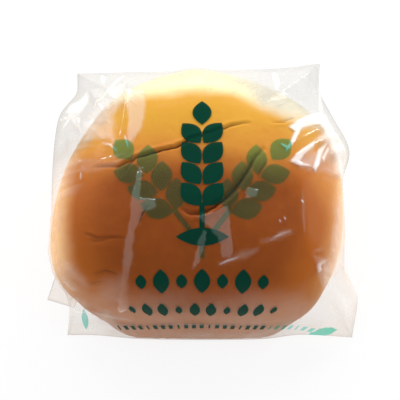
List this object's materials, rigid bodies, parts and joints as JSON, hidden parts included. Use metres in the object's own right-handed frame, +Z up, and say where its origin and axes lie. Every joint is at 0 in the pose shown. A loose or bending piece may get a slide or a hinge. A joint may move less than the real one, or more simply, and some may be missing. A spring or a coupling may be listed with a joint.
{
  "type": "melon pan bun in a clear bag",
  "caption": "Smooth domed sweet bun in a clear sealed film bag with a flat head edge, a tucked foot and side ears, lying on its back.",
  "frame": {"origin": "middle of the footprint, on the surface that the bag lies on", "axes": "+X to the right across the print, +Y from the foot to the head of the bag, +Z up out of the printed side"},
  "size_m": [0.1338, 0.118, 0.0566],
  "materials": {
    "bag_film": "glossy",
    "bun_crust": "satin"
  },
  "bodies": {
    "root": {"bagged_bun": "bag_film"}
  },
  "joints": []
}
